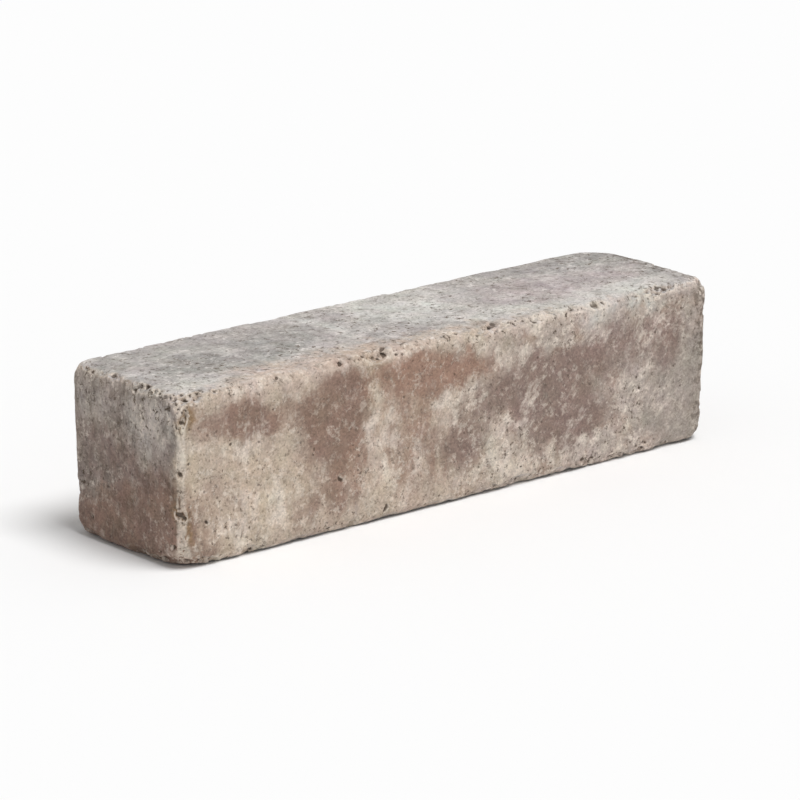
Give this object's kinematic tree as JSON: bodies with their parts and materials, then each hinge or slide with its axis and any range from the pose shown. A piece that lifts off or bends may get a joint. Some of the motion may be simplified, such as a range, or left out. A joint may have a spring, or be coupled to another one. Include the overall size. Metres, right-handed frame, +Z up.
{
  "type": "concrete wall block",
  "caption": "Long solid concrete block with a square section, tumbled so that its arrises and corners are worn and chipped, for dry-stacked garden walls and edgings.",
  "frame": {"origin": "middle of the bed, the face that the block lies on", "axes": "+X along the length, +Y from the face to the back, +Z up"},
  "size_m": [0.6, 0.15, 0.15],
  "materials": {
    "concrete": "matt tumbled concrete, beige-grey with soft brown clouds, sandy and pitted"
  },
  "bodies": {
    "root": {"wall_block": "concrete"}
  },
  "joints": []
}
